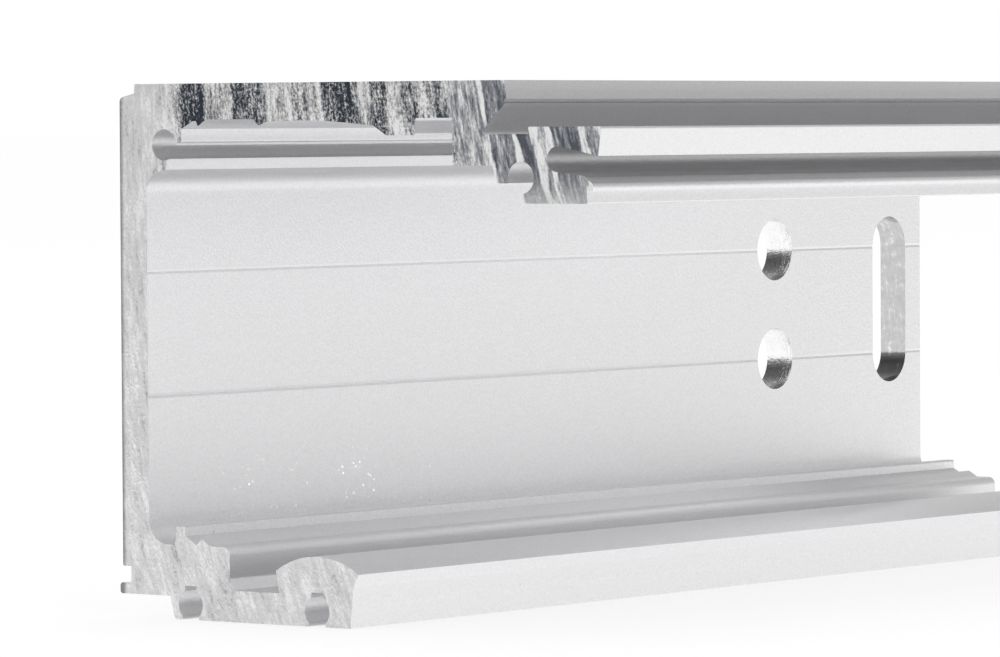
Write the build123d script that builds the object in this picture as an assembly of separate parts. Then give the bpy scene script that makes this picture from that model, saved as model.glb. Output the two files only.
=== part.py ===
from build123d import *
from math import cos, radians, sin, tan
import os

# A cut length of an aluminium sliding door track. Its C-shaped section stands on its lower flange,
# with the back wall at +Y, the open side at -Y and the sawn ends at -X and +X.
# Depths are measured from the back face towards the open side. Drops are measured down from the
# top face and rises up from the underside. All sizes are in millimetres.

# Overall sizes
LENGTH = 264.0
HEIGHT = 100.0
WALL = 6.5
TOP = 6.7
FLOOR = 5.85

# Back wall: rebate along the top edge, clip groove and lip along the bottom edge
REBATE_DEPTH = 3.6
REBATE_DROP = 1.7
REBATE_SLOPE = 0.9
CLIP_TOP_RISE = 9.5
CLIP_DEPTH = 2.0
CLIP_HEIGHT = 2.9
LIP_OVERHANG = 0.7
LIP_SLOPE = 0.3
WALL_BOTTOM_RISE = 4.3

# Ports for end-cap screws: round channels that run the whole length
PORT_RADIUS = 2.9
PORT_MOUTH = 4.0
PORT_KEY_WIDTH = 2.7
PORT_KEY_RISE = 3.5

# Upper corner: a port with a hanging jaw above and a ledge below
CORNER_PORT_DEPTH = 10.8
CORNER_PORT_DROP = 11.4
JAW_DEPTH = 15.0
JAW_TIP = 1.0
JAW_DROP = 11.0
JAW_BEVEL = 0.35
LEDGE_DEPTH = 11.9
LEDGE_TOP_DROP = 14.3
LEDGE_DROP = 16.1
LEDGE_BEVEL = 0.8
CORNER_FILLET = 4.4

# Underside of the top flange: two small beads, a shallow arch and a pad
HOLLOW_DROP = 7.0
HOLLOW_START_DROP = 8.3
HOLLOW_WIDTH = 2.8
BEAD_DEPTH = 19.0
BEAD_DROP = 8.0
BEAD_SLOPE = 2.0
MID_BEAD_DEPTH = 33.6
MID_BEAD_DROP = 7.9
MID_BEAD_BACK = 1.3
MID_BEAD_FRONT = 1.7
ARCH_START_DROP = 7.25
ARCH_CROWN_DEPTH = 45.5
ARCH_CROWN_DROP = 6.7
ARCH_RADIUS = 120.0
ARCH_END_DROP = 8.0
PAD_DEPTH = 63.5
PAD_WIDTH = 6.6
PAD_DROP = 9.8
PAD_SLOPE = 3.0

# Front block: a nose with an undercut, a cover seat, two arms round a groove, and a port below
BLOCK_DEPTH = 78.6
BLOCK_DROP = 15.3
NOSE = 12.25
NOSE_FACE = 3.8
NOSE_LEAN = 0.2
NECK = 6.8
NECK_DROP = 9.1
SEAT_DROP = 9.7
SEAT_WIDTH = 10.3
ARM_REACH = 33.2
ARM_DROP = 8.4
ARM_FACE = 5.3
ARM_RAKE = 0.7
GROOVE_START = 23.5
GROOVE_DROP = 14.2
GROOVE_WIDTH = 4.6
GROOVE_ROOF_ANGLE = 11.0
GROOVE_FLOOR_ANGLE = 6.0
FLARE_START = 28.3
FLARE_ANGLE = 26.0
FLARE_ROUND = 4.0
LIP_ROUND = 0.9
LOWER_REACH = 31.3
LOWER_FACE_DROP = 19.8
LOWER_STEP = 1.2
STEP_LEAN = 0.12
LOWER_DROP = 22.1
HOOK_START = 16.0
LEG_START = 9.0
LEG_WIDTH = 2.4
LEG_RAKE = 1.0
LEG_DROP = 18.5
BLOCK_PORT_START = 15.4
BLOCK_PORT_DROP = 17.5

# Lower corner: a trough behind an upright fin
TROUGH_RISE = 13.9
TROUGH_FILLET = 4.5
FIN_DEPTH = 12.9
FIN_THICKNESS = 2.4
FIN_RISE = 17.4
FIN_FILLET = 1.0

# Lower flange: leg, stepped shelf, groove and round-topped rail
LOWER_LEG_DEPTH = 11.5
LOWER_LEG_RAKE = 1.2
SHELF_END = 26.0
SHELF_ROUND = 1.6
DIP_RISE = 14.0
DIP_DEPTH = 18.0
DIP_START_RISE = 15.6
RIDGE_DEPTH = 19.2
RIDGE_RISE = 15.15
RIDGE_SLOPE = 2.2
GROOVE_WALL_RISE = 8.0
GROOVE_WALL_SLOPE = 1.4
RAIL_DEPTH = 46.7
RAIL_WIDTH = 19.4
RAIL_RISE = 12.95
RAIL_RADIUS = 17.3
RAIL_UNDERCUT = 0.8
RAIL_SIDE_RISE = 7.6
RAIL_BASE_INSET = 1.9
RAIL_SIDE_INSET = 1.2
LOWER_PORT_DEPTHS = (16.5, RAIL_DEPTH)
LOWER_PORT_RISE = 2.8

# Drilling in the back wall, on its two scored lines
SCORE_DROP = 35.2
SCORE_PITCH = 23.3
SCORE_WIDTH = 0.9
SCORE_CUT = 0.1
HOLE_DIAMETER = 13.0
HOLE_FROM_END = 56.7
SLOT_WIDTH = 13.0
SLOT_FROM_END = 12.4

# Edge rounds, and how far a member reaches into its neighbour or a cutter past its face
SHARP = 0.2
SOFT = 0.4
ROUND = 0.6
BROAD = 1.0
OVERLAP = 1.0


def outline(*corners):
    """Closed face through (depth, rise) corners, where a third number rounds that corner."""
    path = []
    points = [Vector(*corner[:2]) for corner in corners]
    for index, corner in enumerate(corners):
        here = points[index]
        back = (points[index - 1] - here).normalized()
        ahead = (points[(index + 1) % len(points)] - here).normalized()
        if len(corner) == 2:
            path.append((here,))
            continue
        half_angle = radians(back.get_angle(ahead) / 2)
        along = corner[2] * cos(half_angle) / sin(half_angle)
        middle = corner[2] / sin(half_angle) - corner[2]
        bisector = (back + ahead).normalized()
        path.append((here + back * along, here + bisector * middle, here + ahead * along))
    edges = []
    for index, stop in enumerate(path):
        if len(stop) == 3:
            edges.append(ThreePointArc(*stop))
        edges.append(Line(stop[-1], path[(index + 1) % len(path)][0]))
    return make_face(edges)


def drop(distance):
    """Rise of a point that lies this far below the top face."""
    return HEIGHT - distance


def port(depth, rise):
    return Pos(depth, rise) * Circle(PORT_RADIUS)


def back_wall():
    """Upright wall with its top rebate, both inner corners, the fin and the clip groove behind."""
    clip_bottom = CLIP_TOP_RISE - CLIP_HEIGHT
    return outline(
        (REBATE_DEPTH, HEIGHT, SOFT),
        (JAW_DEPTH, HEIGHT),
        (JAW_DEPTH, drop(JAW_DROP), SOFT),
        (JAW_DEPTH - JAW_TIP, drop(JAW_DROP), SHARP),
        (LEDGE_DEPTH, drop(LEDGE_TOP_DROP)),
        (LEDGE_DEPTH - LEDGE_BEVEL, drop(LEDGE_DROP), SHARP),
        (WALL, drop(LEDGE_DROP), CORNER_FILLET),
        (WALL, TROUGH_RISE, TROUGH_FILLET),
        (FIN_DEPTH, TROUGH_RISE, FIN_FILLET),
        (FIN_DEPTH, FIN_RISE, SOFT),
        (FIN_DEPTH + FIN_THICKNESS, FIN_RISE, SOFT),
        (FIN_DEPTH + FIN_THICKNESS, WALL_BOTTOM_RISE),
        (-LIP_OVERHANG, WALL_BOTTOM_RISE, ROUND),
        (-LIP_OVERHANG, clip_bottom - LIP_SLOPE, ROUND),
        (CLIP_DEPTH, clip_bottom),
        (CLIP_DEPTH, CLIP_TOP_RISE),
        (0, CLIP_TOP_RISE, SOFT),
        (0, drop(REBATE_DROP + REBATE_SLOPE), BROAD),
        (REBATE_DEPTH, drop(REBATE_DROP)),
    )


def top_flange():
    """Flat plate whose underside carries two beads, a shallow arch and a pad."""
    hollow_end = BEAD_DEPTH - SOFT
    arch_end = PAD_DEPTH - PAD_SLOPE
    bevel_drop = HOLLOW_START_DROP + JAW_BEVEL
    return outline(
        (JAW_DEPTH - OVERLAP, HEIGHT),
        (JAW_DEPTH - OVERLAP, drop(bevel_drop)),
        (JAW_DEPTH, drop(bevel_drop)),
        (JAW_DEPTH + JAW_BEVEL, drop(HOLLOW_START_DROP)),
        (JAW_DEPTH + HOLLOW_WIDTH, drop(HOLLOW_DROP), BROAD),
        (hollow_end, drop(HOLLOW_DROP)),
        (BEAD_DEPTH, drop(BEAD_DROP), SHARP),
        (BEAD_DEPTH + BEAD_SLOPE, drop(TOP)),
        (MID_BEAD_DEPTH - MID_BEAD_BACK, drop(TOP)),
        (MID_BEAD_DEPTH, drop(MID_BEAD_DROP), ROUND),
        (MID_BEAD_DEPTH + MID_BEAD_FRONT, drop(ARCH_START_DROP)),
        (ARCH_CROWN_DEPTH, drop(ARCH_CROWN_DROP), ARCH_RADIUS),
        (arch_end, drop(ARCH_END_DROP)),
        (PAD_DEPTH, drop(PAD_DROP), SOFT),
        (PAD_DEPTH + PAD_WIDTH, drop(PAD_DROP), SOFT),
        (PAD_DEPTH + PAD_WIDTH, drop(TOP), ROUND),
        (BLOCK_DEPTH + OVERLAP, drop(TOP)),
        (BLOCK_DEPTH + OVERLAP, HEIGHT),
    )


def front_groove():
    """Round-bottomed groove whose roof and floor slope down towards the open side and flare at the lip."""
    half = GROOVE_WIDTH / 2
    start = BLOCK_DEPTH + GROOVE_START
    rise = drop(GROOVE_DROP)
    flare = BLOCK_DEPTH + FLARE_START
    end = BLOCK_DEPTH + ARM_REACH + OVERLAP
    roof = radians(GROOVE_ROOF_ANGLE)
    floor = radians(GROOVE_FLOOR_ANGLE)
    roof_start = (start + half * sin(roof), rise + half * cos(roof))
    floor_start = (start - half * sin(floor), rise - half * cos(floor))
    flare_rise = floor_start[1] - (flare - floor_start[0]) * tan(floor)
    way_out = outline(
        roof_start,
        (end, roof_start[1] - (end - roof_start[0]) * tan(roof)),
        (end, flare_rise - (end - flare) * tan(radians(FLARE_ANGLE))),
        (flare, flare_rise, FLARE_ROUND),
        floor_start,
    )
    return Pos(start, rise) * Circle(half) + way_out


def front_block():
    """Nose, cover seat, upper and lower arms with the groove between them, and the hooked port."""
    leg = BLOCK_DEPTH + LEG_START
    lower = BLOCK_DEPTH + LOWER_REACH
    arm = BLOCK_DEPTH + ARM_REACH
    seat = BLOCK_DEPTH + NECK
    hook = BLOCK_DEPTH + HOOK_START
    block = outline(
        (BLOCK_DEPTH, HEIGHT),
        (BLOCK_DEPTH, drop(BLOCK_DROP), ROUND),
        (leg, drop(BLOCK_DROP)),
        (leg + LEG_RAKE, drop(LEG_DROP), ROUND),
        (leg + LEG_RAKE + LEG_WIDTH, drop(LEG_DROP)),
        (hook, drop(BLOCK_PORT_DROP)),
        (hook, drop(LOWER_DROP), SOFT),
        (lower - LOWER_STEP, drop(LOWER_DROP), SHARP),
        (lower - LOWER_STEP - STEP_LEAN, drop(LOWER_FACE_DROP)),
        (lower, drop(LOWER_FACE_DROP), SHARP),
        (arm - ARM_RAKE, drop(ARM_DROP + ARM_FACE)),
        (arm, drop(ARM_DROP), SOFT),
        (seat + SEAT_WIDTH, drop(ARM_DROP), SHARP),
        (seat + SEAT_WIDTH, drop(SEAT_DROP)),
        (seat, drop(SEAT_DROP), SHARP),
        (seat, drop(NECK_DROP)),
        (BLOCK_DEPTH + NOSE, drop(NOSE_FACE), BROAD),
        (BLOCK_DEPTH + NOSE - NOSE_LEAN, HEIGHT),
    )
    block = block - front_groove() - port(BLOCK_DEPTH + BLOCK_PORT_START, drop(BLOCK_PORT_DROP))
    lip = block.vertices().sort_by_distance((lower, drop(LOWER_FACE_DROP - BROAD)))[0]
    return fillet(lip, LIP_ROUND)


def rail():
    """Rail with an arched running face, undercut beside the groove and flared outside."""
    inside = RAIL_DEPTH - RAIL_WIDTH / 2
    outside = RAIL_DEPTH + RAIL_WIDTH / 2
    shoulder = RAIL_RISE - RAIL_RADIUS + (RAIL_RADIUS**2 - (RAIL_WIDTH / 2) ** 2) ** 0.5
    body = outline(
        (inside + RAIL_UNDERCUT, 0),
        (inside + RAIL_UNDERCUT, FLOOR, SOFT),
        (inside, shoulder),
        (inside, RAIL_RISE),
        (outside, RAIL_RISE),
        (outside, shoulder),
        (outside - RAIL_SIDE_INSET, RAIL_SIDE_RISE, BROAD),
        (outside - RAIL_BASE_INSET, 0, SHARP),
    )
    crown = Pos(RAIL_DEPTH, RAIL_RISE - RAIL_RADIUS) * Circle(RAIL_RADIUS)
    return body & crown


def lower_flange():
    """Foot with a leg, a dipped and ridged shelf, the groove floor and the rail."""
    wall_foot = SHELF_END + GROOVE_WALL_SLOPE
    fin_face = FIN_DEPTH + FIN_THICKNESS
    foot = outline(
        (FIN_DEPTH, DIP_START_RISE),
        (fin_face, DIP_START_RISE),
        (DIP_DEPTH, DIP_RISE, SOFT),
        (RIDGE_DEPTH, RIDGE_RISE, SHARP),
        (RIDGE_DEPTH + RIDGE_SLOPE, TROUGH_RISE, BROAD),
        (SHELF_END, TROUGH_RISE, SHELF_ROUND),
        (SHELF_END, GROOVE_WALL_RISE, BROAD),
        (wall_foot, FLOOR, SOFT),
        (RAIL_DEPTH, FLOOR),
        (RAIL_DEPTH, 0),
        (LOWER_LEG_DEPTH + LOWER_LEG_RAKE, 0, ROUND),
        (LOWER_LEG_DEPTH, WALL_BOTTOM_RISE),
        (FIN_DEPTH, WALL_BOTTOM_RISE),
    )
    return foot + rail()


def lower_port(depth):
    """Port with its mouth in the underside and a shallow keyway above it."""
    mouth = Pos(depth, LOWER_PORT_RISE / 2) * Rectangle(PORT_MOUTH, LOWER_PORT_RISE)
    key = Pos(depth, LOWER_PORT_RISE + PORT_KEY_RISE / 2) * Rectangle(PORT_KEY_WIDTH, PORT_KEY_RISE)
    return port(depth, LOWER_PORT_RISE) + mouth + key


def score(score_drop):
    """V-shaped line cut in the inner face of the back wall, as a guide for the drill."""
    return outline(
        (WALL - SCORE_CUT, drop(score_drop)),
        (WALL, drop(score_drop - SCORE_WIDTH / 2)),
        (WALL + SCORE_CUT, drop(score_drop)),
        (WALL, drop(score_drop + SCORE_WIDTH / 2)),
    )


def section():
    solid = back_wall() + top_flange() + front_block() + lower_flange()
    solid -= port(CORNER_PORT_DEPTH, drop(CORNER_PORT_DROP))
    for depth in LOWER_PORT_DEPTHS:
        solid -= lower_port(depth)
    for line in range(2):
        solid -= score(SCORE_DROP + line * SCORE_PITCH)
    return solid


def through_wall(shape, from_end, shape_drop):
    """Cutter through the back wall, placed by its distance from the +X end and its drop."""
    cutter = extrude(shape, WALL + 2 * OVERLAP)
    facing_back = Plane(
        origin=(LENGTH / 2 - from_end, BACK_Y - WALL - OVERLAP, drop(shape_drop)),
        x_dir=(1, 0, 0),
        z_dir=(0, 1, 0),
    )
    return facing_back * cutter


# The section's middle in depth lies over the origin
BACK_Y = (BLOCK_DEPTH + ARM_REACH - LIP_OVERHANG) / 2

end_plane = Plane(origin=(LENGTH / 2, BACK_Y, 0), x_dir=(0, -1, 0), z_dir=(-1, 0, 0))
track = end_plane * extrude(section(), LENGTH)

for line in range(2):
    track -= through_wall(Circle(HOLE_DIAMETER / 2), HOLE_FROM_END, SCORE_DROP + line * SCORE_PITCH)

slot_shape = Rot(0, 0, 90) * SlotCenterToCenter(SCORE_PITCH, SLOT_WIDTH)
track -= through_wall(slot_shape, SLOT_FROM_END, SCORE_DROP + SCORE_PITCH / 2)

os.makedirs("parts", exist_ok=True)
export_step(track, "parts/track_profile.step")
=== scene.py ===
import math

import bmesh
import bpy
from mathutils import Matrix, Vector, noise


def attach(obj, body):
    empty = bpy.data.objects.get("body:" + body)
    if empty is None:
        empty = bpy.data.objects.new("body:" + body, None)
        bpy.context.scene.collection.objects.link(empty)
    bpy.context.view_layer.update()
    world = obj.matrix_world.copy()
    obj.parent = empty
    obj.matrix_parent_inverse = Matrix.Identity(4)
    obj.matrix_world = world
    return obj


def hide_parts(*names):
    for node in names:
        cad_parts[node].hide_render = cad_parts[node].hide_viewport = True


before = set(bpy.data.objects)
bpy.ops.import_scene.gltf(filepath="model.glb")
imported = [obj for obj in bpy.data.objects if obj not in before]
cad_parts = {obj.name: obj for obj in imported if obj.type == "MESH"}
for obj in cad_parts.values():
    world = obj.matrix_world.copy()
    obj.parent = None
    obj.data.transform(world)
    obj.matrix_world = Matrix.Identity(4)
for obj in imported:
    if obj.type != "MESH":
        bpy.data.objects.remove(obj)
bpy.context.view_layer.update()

# Sizes in metres, as in the part. Depth is counted from the back face and drop from the top face.
MM = 0.001
HALF_LENGTH = 132 * MM
HEIGHT = 100 * MM
BACK_Y = 55.55 * MM
WEB = 6.5 * MM


# Short ways to build node trees

# The mix node's sockets when it mixes colours
MIX_FACTOR, MIX_FIRST, MIX_SECOND = 0, 6, 7
MIX_RESULT = 2


def add(tree, kind, inputs=None, **settings):
    """A new node with its settings and inputs; an input that is a socket is linked."""
    node = tree.nodes.new(kind)
    for name, value in settings.items():
        setattr(node, name, value)
    for name, value in (inputs or {}).items():
        if isinstance(value, bpy.types.NodeSocket):
            tree.links.new(value, node.inputs[name])
        else:
            node.inputs[name].default_value = value
    return node


def maths(tree, operation, first, second=0.0, third=0.0):
    """One math node's result."""
    node = add(tree, "ShaderNodeMath", {0: first, 1: second, 2: third}, operation=operation)
    return node.outputs[0]


def product(tree, first, *others):
    """All values multiplied."""
    for other in others:
        first = maths(tree, "MULTIPLY", first, other)
    return first


def added(tree, value, factor, base):
    """The base plus a value times a factor."""
    return maths(tree, "MULTIPLY_ADD", value, factor, base)


def off_middle(tree, value):
    """A noise value counted from its middle."""
    return maths(tree, "SUBTRACT", value, 0.5)


def share_between(tree, value, start, end):
    """How far a value has come from a start to an end, held between 0 and 1."""
    return add(tree, "ShaderNodeMapRange", {"Value": value, "From Min": start, "From Max": end}).outputs[0]


def between(tree, value, low, high):
    """1 where a value lies between two limits."""
    above = maths(tree, "GREATER_THAN", value, low)
    return product(tree, above, maths(tree, "LESS_THAN", value, high))


def ramp(tree, value, stops):
    """A colour ramp over stops, each a place with a grey or a colour."""
    node = add(tree, "ShaderNodeValToRGB", {"Fac": value})
    elements = node.color_ramp.elements
    while len(elements) < len(stops):
        elements.new(0.5)
    for element, (place, colour) in zip(elements, stops):
        element.position = place
        shade = colour if isinstance(colour, tuple) else (colour,) * 3
        element.color = (*shade, 1)
    return node.outputs["Color"]


def blend_colours(tree, factor, first, second):
    """The mix of two colours."""
    inputs = {MIX_FACTOR: factor, MIX_FIRST: first, MIX_SECOND: second}
    return add(tree, "ShaderNodeMix", inputs, data_type="RGBA").outputs[MIX_RESULT]


def texture(tree, place, scale, detail, roughness=0.5, stretch=(1, 1, 1), offset=(0, 0, 0)):
    """Soft noise over positions scaled per axis."""
    mapping = add(tree, "ShaderNodeMapping", {"Vector": place, "Scale": stretch, "Location": offset})
    node = add(
        tree,
        "ShaderNodeTexNoise",
        {"Vector": mapping.outputs[0], "Scale": scale, "Detail": detail, "Roughness": roughness},
    )
    return node.outputs["Fac"]


def bumped(tree, height, strength, distance, normal=None):
    """A surface normal disturbed by a height."""
    inputs = {"Height": height, "Strength": strength, "Distance": distance}
    if normal:
        inputs["Normal"] = normal
    return add(tree, "ShaderNodeBump", inputs).outputs[0]


def seen_directly(tree):
    """1 for camera, glossy and transmission rays, 0 for the light that falls on things."""
    path = add(tree, "ShaderNodeLightPath")
    either = maths(tree, "MAXIMUM", path.outputs["Is Camera Ray"], path.outputs["Is Glossy Ray"])
    return maths(tree, "MAXIMUM", either, path.outputs["Is Transmission Ray"])


# Stage: floor, studio surroundings, lamp and camera

WHITE = (1, 1, 1, 1)
FLOOR_RADIUS = 60
FLOOR_SIDES = 96
FLOOR_GLOW = 0.76
FLOOR_COLOUR = (0.27, 0.27, 0.27, 1)

# The tones of the room over the height of a direction, from just below the horizon to straight up
ROOM_FROM = -0.2
ROOM_TO = 1.0
ROOM_LIGHT = (0.85, 0.85, 0.85, 1)
DARK_ROOM = [(0.0, 1.0), (0.21, 1.0), (0.24, 0.30), (0.42, 0.12), (0.60, 0.06), (1.0, 0.15)]
OPEN_ROOM = [
    (0.0, 1.0), (0.21, 1.0), (0.25, 0.60), (0.29, 0.42),
    (0.36, 0.50), (0.63, 0.56), (0.70, 0.27), (1.0, 0.22),
]
FAR_ROOM = [(0.0, 1.0), (0.21, 1.0), (0.24, 0.72), (0.64, 0.72), (0.71, 0.30), (1.0, 0.22)]

# Each lighter side of the room: its direction, its tones and where it begins and is full
LIGHT_SIDES = (
    ((0.8, -0.6, 0), OPEN_ROOM, 0.35, 0.85),
    ((0.8, 0.6, 0), FAR_ROOM, 0.35, 0.65),
)

LAMP_PLACE = (0.2, 0.1, 2.5)
LAMP_TARGET = (0, 0, 0.05)
LAMP_SIDE = 2.0
LAMP_POWER = 9

LENS = 220.8
SENSOR_WIDTH = 36
CLIP_START = 0.05
CLIP_END = 200
CAMERA_PLACE = (-1.00841, -0.69520, 0.09217)
CAMERA_TURN = (88.0882, 0.3380, -52.9625)


def into_scene(name, data):
    """A new object in the scene."""
    thing = bpy.data.objects.new(name, data)
    bpy.context.scene.collection.objects.link(thing)
    return thing


def make_floor():
    """A plain white floor that keeps the object's shadow."""
    bm = bmesh.new()
    bmesh.ops.create_circle(bm, cap_ends=True, segments=FLOOR_SIDES, radius=FLOOR_RADIUS)
    data = bpy.data.meshes.new("studio_floor")
    bm.to_mesh(data)
    bm.free()
    material = bpy.data.materials.new("floor_white")
    material.use_nodes = True
    tree = material.node_tree
    tree.nodes.clear()
    surface = add(tree, "ShaderNodeBsdfDiffuse", {"Color": FLOOR_COLOUR})
    strength = product(tree, seen_directly(tree), FLOOR_GLOW)
    glow = add(tree, "ShaderNodeEmission", {"Color": WHITE, "Strength": strength})
    both = add(tree, "ShaderNodeAddShader", {0: surface.outputs[0], 1: glow.outputs[0]})
    add(tree, "ShaderNodeOutputMaterial", {"Surface": both.outputs[0]})
    data.materials.append(material)
    into_scene("studio_floor", data)


def make_surroundings():
    """A white studio wall round the horizon, and above it a dark room with two lighter sides."""
    world = bpy.data.worlds.new("studio")
    bpy.context.scene.world = world
    world.use_nodes = True
    tree = world.node_tree
    tree.nodes.clear()
    place = add(tree, "ShaderNodeTexCoord").outputs["Generated"]
    up = add(tree, "ShaderNodeSeparateXYZ", {0: place}).outputs["Z"]
    height = share_between(tree, up, ROOM_FROM, ROOM_TO)
    seen = ramp(tree, height, DARK_ROOM)
    for side, tones, start, end in LIGHT_SIDES:
        facing = add(tree, "ShaderNodeVectorMath", {0: place, 1: side}, operation="DOT_PRODUCT")
        share = share_between(tree, facing.outputs["Value"], start, end)
        seen = blend_colours(tree, share, seen, ramp(tree, height, tones))
    mix = blend_colours(tree, seen_directly(tree), ROOM_LIGHT, seen)
    background = add(tree, "ShaderNodeBackground", {"Color": mix, "Strength": 1.0})
    add(tree, "ShaderNodeOutputWorld", {"Surface": background.outputs[0]})


def make_lamp():
    """A soft square lamp overhead."""
    lamp = bpy.data.lights.new("overhead", "AREA")
    lamp.shape = "RECTANGLE"
    lamp.size = LAMP_SIDE
    lamp.size_y = LAMP_SIDE
    lamp.energy = LAMP_POWER
    holder = into_scene("overhead", lamp)
    holder.location = LAMP_PLACE
    holder.rotation_mode = "QUATERNION"
    holder.rotation_quaternion = (Vector(LAMP_TARGET) - Vector(LAMP_PLACE)).to_track_quat("-Z", "Y")


def make_camera():
    """The photograph's viewpoint: a long lens, nearly level with the profile."""
    camera = bpy.data.cameras.new("camera")
    camera.lens = LENS
    camera.sensor_width = SENSOR_WIDTH
    camera.sensor_fit = "HORIZONTAL"
    camera.clip_start = CLIP_START
    camera.clip_end = CLIP_END
    holder = into_scene("camera", camera)
    holder.location = CAMERA_PLACE
    holder.rotation_euler = [math.radians(angle) for angle in CAMERA_TURN]
    bpy.context.scene.camera = holder


make_camera()
make_floor()
make_surroundings()
make_lamp()
bpy.context.scene.view_settings.view_transform = "Standard"


# Materials


def metal(name):
    """A new material with an empty tree, and the place that its textures are laid over."""
    material = bpy.data.materials.new(name)
    material.use_nodes = True
    tree = material.node_tree
    tree.nodes.clear()
    return material, tree, add(tree, "ShaderNodeTexCoord").outputs["Object"]


def finish(tree, colour, rough, normal, extra=None):
    """Joins a metal surface to the material's output."""
    inputs = {"Base Color": colour, "Metallic": 1.0, "Roughness": rough, "Normal": normal}
    inputs.update(extra or {})
    shader = add(tree, "ShaderNodeBsdfPrincipled", inputs)
    add(tree, "ShaderNodeOutputMaterial", {"Surface": shader.outputs[0]})


def section_place(tree, place):
    """Depth from the back face and drop from the top face."""
    split = add(tree, "ShaderNodeSeparateXYZ", {0: place})
    u = maths(tree, "SUBTRACT", BACK_Y, split.outputs["Y"])
    v = maths(tree, "SUBTRACT", HEIGHT, split.outputs["Z"])
    return u, v


def spots(tree, place, scale, size, rarity):
    """Round spots of one size, one in each cell of a random pattern, apart from the cells left out."""
    cells = add(tree, "ShaderNodeTexVoronoi", {"Vector": place, "Scale": scale})
    spot = maths(tree, "LESS_THAN", cells.outputs["Distance"], size)
    chance = add(tree, "ShaderNodeSeparateColor", {0: cells.outputs["Color"]}).outputs[0]
    return product(tree, spot, maths(tree, "GREATER_THAN", chance, rarity))


# Dust specks low down beside the near end, on every face within this zone along X and Z; they also glow as
# painted glints
DUST_ZONE = (("X", -113 * MM, -44 * MM), ("Z", 17 * MM, 30 * MM))
DUST_FADE = 5 * MM
DUST_SCALE = 900
DUST_SIZE = 0.15
DUST_RARITY = 0.35
SWARM_SCALE = 90
SWARM_LIMIT = 0.42
# The glow of the specks, a painted glint
DUST_PAINTED_GLINT = 1.5

PIT_SCALE = 75
PIT_SIZE = 0.018
PIT_RARITY = 0.5
PIT_DARK = 0.3

# The groove between the arms, as ranges of depth and drop, gets painted shade from its lip to its core
GROOVE_ZONE = ((98 * MM, 111 * MM), (10 * MM, 19.3 * MM))
GROOVE_LIP = 108.4 * MM
GROOVE_CORE = 104 * MM
GROOVE_FLOOR_FADE = (17.6 * MM, 15.8 * MM)
GROOVE_PAINTED_SHADE = 0.34

# The nose and its undercut, with the painted shade from the top face down to the zone's lower end
NOSE_ZONE = ((84 * MM, 92 * MM), (-1 * MM, 9.3 * MM))
NOSE_PAINTED_SHADE = [
    (0.0, 0.80), (0.15, 0.77), (0.27, 0.69), (0.34, 0.68),
    (0.40, 0.82), (0.45, 0.91), (0.53, 0.83), (1.0, 0.95),
]

# The skin's tone and roughness, and what the fine lines, the grain and the soft clouds add to them
SKIN_TONE = 0.765
LINE_TONE = 0.02
GRAIN_TONE = 0.22
CLOUD_TONE = 0.05
RED_GREEN = 0.997
BLUE = 1.008
SKIN_ROUGH = 0.37
CLOUD_ROUGH = 0.06
LINE_ROUGH = 0.04
BROAD_SHARE = 1.4
LINE_STRENGTH = 0.15
LINE_RELIEF = 0.02 * MM
GRAIN_RELIEF = 0.07 * MM


def dust_and_glints(tree, place):
    """Tiny white dust specks, which show most at the foot of the back wall, and which also glow as painted
    glints.
    """
    spot = spots(tree, place, DUST_SCALE, DUST_SIZE, DUST_RARITY)
    swarm = texture(tree, place, scale=SWARM_SCALE, detail=1, stretch=(0.6, 1, 1))
    spot = product(tree, spot, maths(tree, "GREATER_THAN", swarm, SWARM_LIMIT))
    split = add(tree, "ShaderNodeSeparateXYZ", {0: place})
    for axis, low, high in DUST_ZONE:
        along = split.outputs[axis]
        rising = share_between(tree, along, low, low + DUST_FADE)
        falling = share_between(tree, along, high, high - DUST_FADE)
        spot = product(tree, spot, rising, falling)
    return spot


def in_zone(tree, u, v, zone):
    """1 inside a box of the section, given as its ranges of depth and drop."""
    return product(tree, between(tree, u, *zone[0]), between(tree, v, *zone[1]))


def painted_groove_shade(tree, u, v):
    """Painted shade in the front groove, up to 1 in its bottom."""
    depth = share_between(tree, u, GROOVE_LIP, GROOVE_CORE)
    return product(tree, in_zone(tree, u, v, GROOVE_ZONE), depth, share_between(tree, v, *GROOVE_FLOOR_FADE))


def painted_nose_shade(tree, u, v):
    """Painted shade on the nose, darker towards its lower corner and on the undercut."""
    share = maths(tree, "DIVIDE", v, NOSE_ZONE[1][1])
    return blend_colours(tree, in_zone(tree, u, v, NOSE_ZONE), WHITE, ramp(tree, share, NOSE_PAINTED_SHADE))


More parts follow.
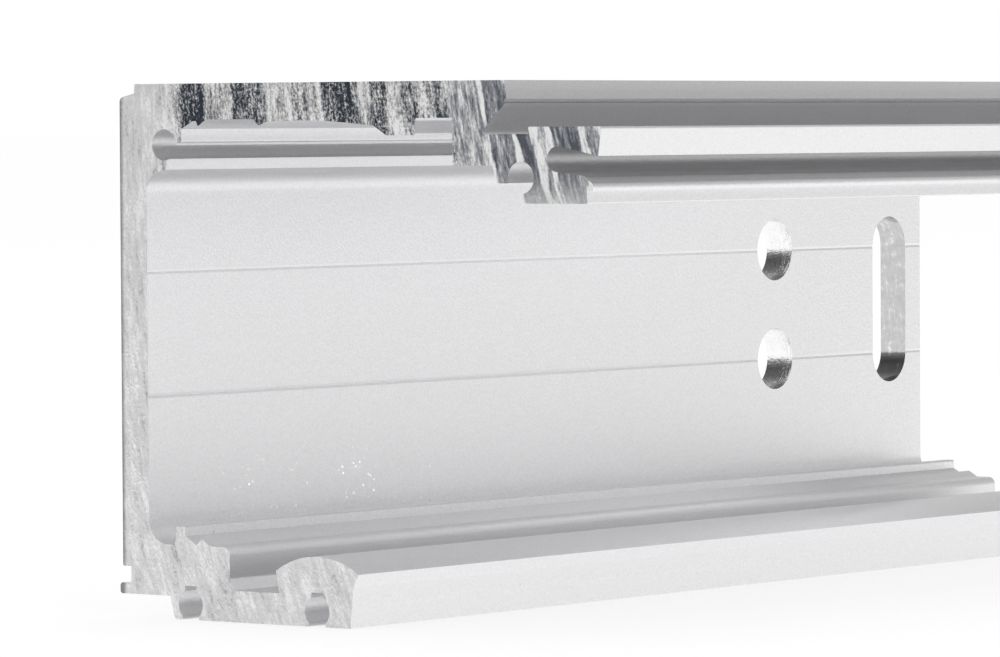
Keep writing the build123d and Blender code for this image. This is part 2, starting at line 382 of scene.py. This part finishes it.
def skin_material():
    """Extruded aluminium as it leaves the die: satin, with faint lengthwise lines and a fine grain, and
    painted shade on the nose and in the groove.
    """
    material, tree, place = metal("aluminium_skin")
    u, v = section_place(tree, place)
    lines = texture(tree, place, scale=900, detail=3, roughness=0.6, stretch=(0.0035, 1, 1))
    broad = texture(tree, place, scale=160, detail=2, stretch=(0.03, 1, 1), offset=(0.3, 0, 0))
    grain = texture(tree, place, scale=2400, detail=2, roughness=0.6)
    cloud = texture(
        tree, place, scale=22, detail=3, roughness=0.55, stretch=(0.5, 1, 1), offset=(0.1, 0.2, 0)
    )
    tone = added(tree, lines, LINE_TONE, SKIN_TONE)
    tone = added(tree, grain, GRAIN_TONE, tone)
    tone = added(tree, cloud, CLOUD_TONE, tone)
    # Painted shade in the groove, and the dark pits, dim the skin's tone
    shade_and_pits = added(tree, painted_groove_shade(tree, u, v), -GROOVE_PAINTED_SHADE, 1.0)
    shade_and_pits = added(tree, spots(tree, place, PIT_SCALE, PIT_SIZE, PIT_RARITY), -PIT_DARK, shade_and_pits)
    # The skin's tone takes the painted shade of the groove and the nose
    tone = product(tree, tone, shade_and_pits, painted_nose_shade(tree, u, v))
    red = product(tree, tone, RED_GREEN)
    colour = add(tree, "ShaderNodeCombineColor", {0: red, 1: red, 2: product(tree, tone, BLUE)})
    rough = added(tree, cloud, CLOUD_ROUGH, SKIN_ROUGH)
    rough = added(tree, lines, LINE_ROUGH, rough)
    drawn = bumped(tree, added(tree, broad, BROAD_SHARE, lines), LINE_STRENGTH, LINE_RELIEF)
    # The specks are white dust that also glows as a painted glint
    speck_and_glint = dust_and_glints(tree, place)
    finish(
        tree,
        blend_colours(tree, speck_and_glint, colour.outputs[0], WHITE),
        rough,
        bumped(tree, grain, 1.0, GRAIN_RELIEF, drawn),
        {
            "Metallic": maths(tree, "SUBTRACT", 1.0, speck_and_glint),
            "Emission Color": WHITE,
            "Emission Strength": product(tree, speck_and_glint, DUST_PAINTED_GLINT),
        },
    )
    return material


# How the saw's streaks lean towards the front: evenly, more with the drop, and more with depth and drop
LEAN = 0.05
LEAN_BEND = 1.0
LEAN_TURN = 1.5

# How much the metal is torn across the top flange, by shares of the span, which sets where its painted dark
# streaks lie
TORN_SPAN = 100 * MM
TORN = [
    (0.135, 0.0), (0.155, 1.0), (0.195, 0.95), (0.21, 0.05), (0.26, 0.1),
    (0.27, 0.7), (0.29, 0.5), (0.305, 0.9), (0.33, 0.8), (0.345, 0.0),
    (0.41, 0.1), (0.42, 0.8), (0.435, 0.1), (0.48, 0.1), (0.495, 1.0),
    (0.55, 0.95), (0.57, 0.0), (0.59, 0.2), (0.60, 0.9), (0.625, 0.8),
    (0.64, 0.0), (0.70, 0.4), (0.74, 0.4), (0.76, 0.1), (1.0, 0.25),
]
# The torn streaks' tones: painted shade down to near black, painted highlight up to white
TORN_PAINTED_SHADING = [(0.35, (0.04, 0.05, 0.06)), (0.42, (0.13, 0.14, 0.17)), (0.48, 0.42), (0.56, 0.74), (0.63, 1.0)]
TORN_SHIFT = -0.17
TORN_LIFT = 0.06
EVEN_SPREAD = 0.15
TORN_SPREAD = 0.45

# The front block's strokes of painted highlight and painted shade, bright at 0 and dark at 1, by millimetres
# of depth
BLOCK_START = 77 * MM
BLOCK = [
    (80.0, 0.35), (83.7, 0.40), (84.1, 0.0), (85.0, 0.0), (85.4, 0.70),
    (89.7, 0.60), (90.1, 0.0), (90.9, 0.0), (91.3, 1.0), (94.5, 0.90),
    (94.9, 0.0), (96.1, 0.0), (96.5, 0.55), (97.3, 0.45), (97.6, 0.0),
    (98.7, 0.0), (99.1, 0.85), (104.3, 0.80), (104.7, 0.0), (106.0, 0.0),
    (106.5, 0.40), (112.0, 0.40),
]
BLOCK_PAINTED_SHADING = [(0.0, 1.0), (0.25, 0.74), (0.55, (0.37, 0.38, 0.41)), (1.0, (0.12, 0.13, 0.15))]
BLOCK_WANDER = 5 * MM
BLOCK_JITTER = 1.5 * MM
BLOCK_MIX = -2.6
BLOCK_STREAKS = -1.2

# An end is torn strongly only near the top and away from the back face, rising over these ranges, where the
# painted dark shading of the torn streaks and the block takes over
TORN_DROP = (25 * MM, 16 * MM)
TORN_DEPTH = (8 * MM, 15 * MM)

# The paler streaks lower down: real streaks, whose light and dark tones are painted shading
PALE_PAINTED_SHADING = [(0.33, (0.46, 0.47, 0.49)), (0.42, 0.73), (0.54, 0.81), (0.60, 0.95)]
FLECK_TONE = 0.4
PALE_SHIFT = 0.20

# Painted highlights along ridges and cracks, by the distance from their middle, and the flecks and patches
# that show them
PAINTED_EDGE_HIGHLIGHT = (0.99, 0.99, 0.99, 1)
RIDGE_PAINTED_HIGHLIGHT = [(0.0, 1.0), (0.012, 0.7), (0.03, 0.0)]
RIDGE_FLECKS = [(0.46, 0.0), (0.56, 1.0)]
CRACK_SCALE = 420
CRACK_STRETCH = (1, 0.5, 1)
CRACK_PAINTED_HIGHLIGHT = [(0.0, 0.9), (0.02, 0.7), (0.05, 0.0)]
CRACK_PATCHES = [(0.47, 0.0), (0.55, 1.0)]
CRACK_FLECKS = [(0.40, 0.2), (0.55, 1.0)]
CRACK_WARP = 4 * MM
EDGE_DROP = (20 * MM, 60 * MM)

# The dark line along the end's back edge
BACK_EDGE = (0.9 * MM, 0.1 * MM)
BACK_EDGE_DARK = 0.75
BACK_EDGE_COLOUR = (0.12, 0.13, 0.15, 1)

SAWN_ROUGH = 0.50
STREAK_ROUGH = -0.25
SAWN_STRENGTH = 0.7
SAWN_RELIEF = 0.1 * MM
FLECK_DEPTH = 0.8
EDGE_DEPTH = 0.3


def across_streaks(tree, u, v):
    """The place across the streaks, which lean over towards the front."""
    bend = product(tree, v, v, LEAN_BEND)
    turn = product(tree, u, v, LEAN_TURN)
    across = maths(tree, "SUBTRACT", u, product(tree, v, LEAN))
    return maths(tree, "SUBTRACT", maths(tree, "SUBTRACT", across, bend), turn)


def painted_torn_streaks(tree, across, mixed, fleck):
    """Painted shade and painted highlights of the torn streaks on the end of the top flange."""
    torn = ramp(tree, maths(tree, "DIVIDE", across, TORN_SPAN), TORN)
    spread = product(tree, added(tree, torn, TORN_SPREAD, EVEN_SPREAD), off_middle(tree, fleck))
    speckled = maths(tree, "ADD", spread, mixed)
    shifted = added(tree, torn, TORN_SHIFT, maths(tree, "ADD", speckled, TORN_LIFT))
    return ramp(tree, shifted, TORN_PAINTED_SHADING)


def painted_block_strokes(tree, across, swirl, patch, mixed, streak):
    """Broad strokes of painted highlight and painted shade on the end of the front block."""
    wander = added(tree, off_middle(tree, swirl), BLOCK_WANDER, across)
    wander = added(tree, off_middle(tree, patch), BLOCK_JITTER, wander)
    first, last = BLOCK[0][0], BLOCK[-1][0]
    stops = [((depth - first) / (last - first), tone) for depth, tone in BLOCK]
    smeared = ramp(tree, share_between(tree, wander, first * MM, last * MM), stops)
    smeared = added(tree, off_middle(tree, mixed), BLOCK_MIX, smeared)
    smeared = added(tree, off_middle(tree, streak), BLOCK_STREAKS, smeared)
    return ramp(tree, smeared, BLOCK_PAINTED_SHADING)


def painted_edge_highlights(tree, flat, v, swirl, patch, fleck):
    """Painted highlights along fine ridges and cracks on the lower part of an end, up to 1."""
    strokes = texture(tree, flat, scale=900, detail=2, stretch=(1, 0.16, 1), offset=(0.7, 0.3, 0))
    ridge = maths(tree, "ABSOLUTE", off_middle(tree, strokes))
    edge = ramp(tree, ridge, RIDGE_PAINTED_HIGHLIGHT)
    edge = product(tree, edge, ramp(tree, fleck, RIDGE_FLECKS))
    shifts = [product(tree, off_middle(tree, value), CRACK_WARP) for value in (swirl, patch)]
    shift = add(tree, "ShaderNodeCombineXYZ", {0: shifts[0], 1: shifts[1]}).outputs[0]
    warped = add(tree, "ShaderNodeVectorMath", {0: flat, 1: shift}, operation="ADD").outputs[0]
    plates = add(tree, "ShaderNodeMapping", {"Vector": warped, "Scale": CRACK_STRETCH}).outputs[0]
    cells = add(
        tree, "ShaderNodeTexVoronoi", {"Vector": plates, "Scale": CRACK_SCALE}, feature="DISTANCE_TO_EDGE"
    )
    crack = ramp(tree, cells.outputs["Distance"], CRACK_PAINTED_HIGHLIGHT)
    crack = product(tree, crack, ramp(tree, patch, CRACK_PATCHES))
    crack = product(tree, crack, ramp(tree, fleck, CRACK_FLECKS))
    return product(tree, maths(tree, "MAXIMUM", edge, crack), share_between(tree, v, *EDGE_DROP))


def saw_noise(tree, flat):
    """The four layers of a sawn end: long streaks, broad patches, fine flecks and slow swirls."""
    streak = texture(tree, flat, scale=1000, detail=3, roughness=0.65, stretch=(1, 0.20, 1))
    patch = texture(
        tree, flat, scale=300, detail=3, roughness=0.6, stretch=(1, 0.22, 1), offset=(0.2, 0.1, 0)
    )
    fleck = texture(
        tree, flat, scale=2200, detail=3, roughness=0.75, stretch=(1, 0.6, 1), offset=(0.1, 0.4, 0)
    )
    swirl = texture(tree, flat, scale=130, detail=2, stretch=(1, 0.7, 1), offset=(0.4, 0.6, 0))
    return streak, patch, fleck, swirl


def sawn_material():
    """A face left by the saw: torn streaks that run down the face and lean over towards the front, toned with
    painted shade and painted highlights.
    """
    material, tree, place = metal("aluminium_sawn")
    u, v = section_place(tree, place)
    across = across_streaks(tree, u, v)
    flat = add(tree, "ShaderNodeCombineXYZ", {0: across, 1: v}).outputs[0]
    streak, patch, fleck, swirl = saw_noise(tree, flat)
    mixed = added(tree, streak, 0.5, product(tree, patch, 0.5))
    mixed = added(tree, fleck, FLECK_TONE, maths(tree, "SUBTRACT", mixed, PALE_SHIFT))
    # The ridges and cracks are painted bright as highlights, and raised in the bump
    edges = painted_edge_highlights(tree, flat, v, swirl, patch, fleck)
    pale = blend_colours(tree, edges, ramp(tree, mixed, PALE_PAINTED_SHADING), PAINTED_EDGE_HIGHLIGHT)
    in_block = maths(tree, "GREATER_THAN", across, BLOCK_START)
    block = painted_block_strokes(tree, across, swirl, patch, mixed, streak)
    dark = blend_colours(tree, in_block, painted_torn_streaks(tree, across, mixed, fleck), block)
    strong = product(tree, share_between(tree, v, *TORN_DROP), share_between(tree, u, *TORN_DEPTH))
    colour = blend_colours(tree, strong, pale, dark)
    edge_dark = product(tree, share_between(tree, u, *BACK_EDGE), BACK_EDGE_DARK)
    colour = blend_colours(tree, edge_dark, colour, BACK_EDGE_COLOUR)
    depth = added(tree, fleck, FLECK_DEPTH, maths(tree, "ADD", streak, patch))
    depth = added(tree, edges, EDGE_DEPTH, depth)
    rough = added(tree, streak, STREAK_ROUGH, SAWN_ROUGH)
    finish(tree, colour, rough, bumped(tree, depth, SAWN_STRENGTH, SAWN_RELIEF))
    return material


# The slot lies past this place along X, and the drilled holes before it
SLOT_START = 100 * MM
DRILLED_TONES = [(0.34, (0.86, 0.86, 0.88)), (0.44, 0.96), (0.6, 1.0)]
MILLED_TONES = [(0.36, (0.52, 0.53, 0.54)), (0.50, 0.60), (0.57, 0.66), (0.62, 0.86)]
BORE_ROUGH = 0.16
BORE_RELIEF = 0.21 * MM
MILLED_SMOOTHING = 0.75


def drilled_material():
    """The walls of the drilled holes and the milled slot: tool marks across the wall."""
    material, tree, place = metal("aluminium_drilled")
    rings = texture(tree, place, scale=700, detail=3, roughness=0.7, stretch=(0.25, 1.6, 0.6))
    chips = texture(
        tree, place, scale=700, detail=4, roughness=0.75, stretch=(1, 0.5, 1), offset=(0.3, 0.1, 0)
    )
    mixed = added(tree, rings, 0.5, product(tree, chips, 0.5))
    along = add(tree, "ShaderNodeSeparateXYZ", {0: place}).outputs["X"]
    milled = maths(tree, "GREATER_THAN", along, SLOT_START)
    colour = blend_colours(tree, milled, ramp(tree, mixed, DRILLED_TONES), ramp(tree, mixed, MILLED_TONES))
    strength = added(tree, milled, -MILLED_SMOOTHING, 1.0)
    finish(tree, colour, BORE_ROUGH, bumped(tree, mixed, strength, BORE_RELIEF))
    return material


# The profile, taken from the CAD solid, with real saw marks on its two ends

SKIN, SAWN, DRILLED = range(3)
WELD = 2e-6
PLANE_SLACK = 1e-8
FLAT_ANGLE = math.radians(0.3)
SHARP_ANGLE = math.radians(48)
NORMAL_WEIGHT = 90

# A strip beside each end is cut off the long faces, so that their shading stays even
RIM = 0.3 * MM
CAP_SLACK = 0.01 * MM
CAP_FACING = 0.99

# The saw marks: the spacing of the grid in rows, columns and streaks, and the deepest mark
ROW_STEP = 1.0 * MM
COLUMN_STEP = 4.0 * MM
NEAR_STEP = 0.2 * MM
FAR_STEP = 0.4 * MM
SECTION_DEPTH = 112 * MM
MARK_DEPTH = 0.065 * MM

# Each wave of the marks: its weight, its count per millimetre across and along, and its layer
MARK_WAVES = ((0.5, 0.45, 0.05, 3.1), (0.6, 1.1, 0.10, 7.7), (0.35, 2.3, 0.35, 1.3))
WEAK_MARKS = 0.4
MARK_DROP = (26 * MM, 16 * MM)

# Holes and slot go through the web at these heights
HOLE_RISE = (30 * MM, 75 * MM)
HOLE_SLACK = 0.02 * MM
HOLE_END_GAP = 0.5 * MM
HOLE_FACING = 0.5

# Corners of the section, as depth and drop, that are rounder than in the CAD or moved a little
NOSE_CORNER = (90.85 * MM, 3.8 * MM)
NOSE_REACH = 0.45 * MM
NOSE_FACTOR = 5.0
LIP_CORNER = (110.137 * MM, 18.596 * MM)
LIP_REACH = 0.72 * MM
LIP_FACTOR = 1.25
FLARE_CORNER = (106.9 * MM, 17.017 * MM)
FLARE_REACH = 0.75 * MM
FLARE_SHIFT = (1.0 * MM, 0.105 * MM)
NOSE_TOP = (90.65 * MM, 0)
NOSE_TOP_REACH = 0.05 * MM
NOSE_SETBACK = 0.3 * MM

# The two scored lines of the web
SCORE_DROPS = (35.2 * MM, 58.5 * MM)
SCORE_REACH = 0.5 * MM
SCORE_SLACK = 0.15 * MM


def depth_and_drop(co):
    """A point's place in the section."""
    return BACK_Y - co.y, HEIGHT - co.z


def is_cap(face, side):
    """True for a face of the sawn end on that side."""
    at_end = abs(face.calc_center_median().x) > HALF_LENGTH - CAP_SLACK
    return at_end and face.normal.x * side > CAP_FACING


def in_a_hole(face):
    """True for a wall of a drilled hole or of the slot, which both go through the web."""
    centre = face.calc_center_median()
    through = BACK_Y - WEB - HOLE_SLACK < centre.y < BACK_Y + HOLE_SLACK
    inside = abs(centre.x) < HALF_LENGTH - HOLE_END_GAP and HOLE_RISE[0] < centre.z < HOLE_RISE[1]
    return through and inside and abs(face.normal.y) < HOLE_FACING


def cut(bm, faces, axis, places):
    """Cuts faces by planes at rising places along an axis and returns all of the faces."""
    normal = Vector([1.0 if i == axis else 0.0 for i in range(3)])
    done = []
    active = list(faces)
    for place in places:
        if not active:
            break
        geometry = set(active)
        for face in active:
            geometry.update(face.edges)
            geometry.update(face.verts)
        result = bmesh.ops.bisect_plane(
            bm, geom=list(geometry), dist=PLANE_SLACK, plane_co=normal * place, plane_no=normal
        )
        active = []
        for item in result["geom"]:
            if isinstance(item, bmesh.types.BMFace):
                beyond = max(vert.co[axis] for vert in item.verts) > place + 10 * PLANE_SLACK
                (active if beyond else done).append(item)
    return done + active


def near_corner(bm, corner, reach):
    """All points along the profile that lie round a corner of its section."""
    return [vert for vert in bm.verts if math.dist(depth_and_drop(vert.co), corner) < reach]


def widen_round(bm, corner, reach, factor):
    """Makes the round at a corner broader, by moving its points away from the corner along both faces."""
    for vert in near_corner(bm, corner, reach):
        u, v = depth_and_drop(vert.co)
        vert.co.y = BACK_Y - corner[0] - (u - corner[0]) * factor
        vert.co.z = HEIGHT - corner[1] - (v - corner[1]) * factor


def steps(low, high, step):
    """Evenly spaced places between two ends."""
    count = int((high - low) / step)
    return [low + step * (i + 0.5) for i in range(count)]


def lean(co):
    """From a place on the end to its place across the streaks."""
    u, v = depth_and_drop(co)
    return u - LEAN * v - LEAN_BEND * v * v - LEAN_TURN * u * v


def unlean(across, v):
    """Back from the place across the streaks to the depth from the back face."""
    return (across + LEAN * v + LEAN_BEND * v * v) / (1 - LEAN_TURN * v)


def marks(across, v):
    """How deep the saw has torn at a place, as a share of the deepest mark."""
    a, b = across / MM, v / MM
    waves = sum(
        weight * noise.noise(Vector((a * wide, b * tall, layer))) for weight, wide, tall, layer in MARK_WAVES
    )
    return 0.5 + 0.5 * waves


def fade(value, start, end):
    """0 at the start and 1 at the end, with a smooth change between."""
    share = min(1.0, max(0.0, (value - start) / (end - start)))
    return share * share * (3 - 2 * share)


def points_of(faces):
    """All points of some faces."""
    return {vert for face in faces for vert in face.verts}


def roughen(bm, side, step):
    """Lays a fine grid along the streaks over one sawn end and presses the marks into it."""
    faces = [face for face in bm.faces if is_cap(face, side)]
    faces = cut(bm, faces, 2, steps(0, HEIGHT, ROW_STEP))
    faces = cut(bm, faces, 1, steps(BACK_Y - SECTION_DEPTH, BACK_Y, COLUMN_STEP))
    verts = points_of(faces)
    for vert in verts:
        vert.co.y = lean(vert.co)
    low = min(vert.co.y for vert in verts)
    high = max(vert.co.y for vert in verts)
    faces = cut(bm, faces, 1, steps(low, high, step))
    for vert in points_of(faces):
        v = HEIGHT - vert.co.z
        across = vert.co.y
        u = unlean(across, v)
        vert.co.y = BACK_Y - u
        strong = WEAK_MARKS + (1 - WEAK_MARKS) * fade(v, *MARK_DROP) * fade(u, *TORN_DEPTH)
        vert.co.x -= side * max(0.0, marks(across, v)) * MARK_DEPTH * strong
    for face in faces:
        face.material_index = SAWN


def on_a_score(edge):
    """True for the three lengthwise edges of a scored line in the web's inner face."""
    for vert in edge.verts:
        u, v = depth_and_drop(vert.co)
        if abs(u - WEB) > SCORE_SLACK or min(abs(v - drop) for drop in SCORE_DROPS) > SCORE_REACH:
            return False
    return True


def reshape(bm):
    """Rounds the nose and the groove's lip, opens the groove's flare and sets back the nose's top edge."""
    widen_round(bm, NOSE_CORNER, NOSE_REACH, NOSE_FACTOR)
    widen_round(bm, LIP_CORNER, LIP_REACH, LIP_FACTOR)
    for vert in near_corner(bm, FLARE_CORNER, FLARE_REACH):
        vert.co.y -= FLARE_SHIFT[0]
        vert.co.z -= FLARE_SHIFT[1]
    for vert in near_corner(bm, NOSE_TOP, NOSE_TOP_REACH):
        vert.co.y += NOSE_SETBACK


def mark_edges(bm):
    """Keeps an edge sharp where it is steep, parts two materials or belongs to a scored line."""
    for edge in bm.edges:
        faces = edge.link_faces
        if len(faces) == 2:
            turned = faces[0].normal.angle(faces[1].normal, 0.0)
            kinds = faces[0].material_index != faces[1].material_index
            edge.smooth = not (kinds or turned > SHARP_ANGLE or on_a_score(edge))


def profile():
    """The dressed profile as a new object."""
    bm = bmesh.new()
    bm.from_mesh(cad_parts["track_profile"].data)
    bmesh.ops.remove_doubles(bm, verts=bm.verts, dist=WELD)
    bmesh.ops.dissolve_limit(
        bm, angle_limit=FLAT_ANGLE, verts=bm.verts, edges=bm.edges, use_dissolve_boundaries=False
    )
    for place in (-HALF_LENGTH + RIM, HALF_LENGTH - RIM):
        geometry = list(bm.verts) + list(bm.edges) + list(bm.faces)
        bmesh.ops.bisect_plane(
            bm, geom=geometry, dist=PLANE_SLACK, plane_co=(place, 0, 0), plane_no=(1, 0, 0)
        )
    reshape(bm)
    bm.normal_update()
    for face in bm.faces:
        face.material_index = DRILLED if in_a_hole(face) else SKIN
        face.smooth = True
    roughen(bm, -1, NEAR_STEP)
    roughen(bm, 1, FAR_STEP)
    bm.normal_update()
    mark_edges(bm)
    data = bpy.data.meshes.new("track_profile_dressed")
    bm.to_mesh(data)
    bm.free()
    for material in (skin_material(), sawn_material(), drilled_material()):
        data.materials.append(material)
    piece = into_scene("track_profile_dressed", data)
    even = piece.modifiers.new("even_normals", "WEIGHTED_NORMAL")
    even.keep_sharp = True
    even.weight = NORMAL_WEIGHT
    even.mode = "FACE_AREA"
    return piece


piece = profile()
cad_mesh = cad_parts["track_profile"].data
cad_mesh.materials.clear()
cad_mesh.materials.append(piece.data.materials[SKIN])
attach(piece, "root")
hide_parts("track_profile")
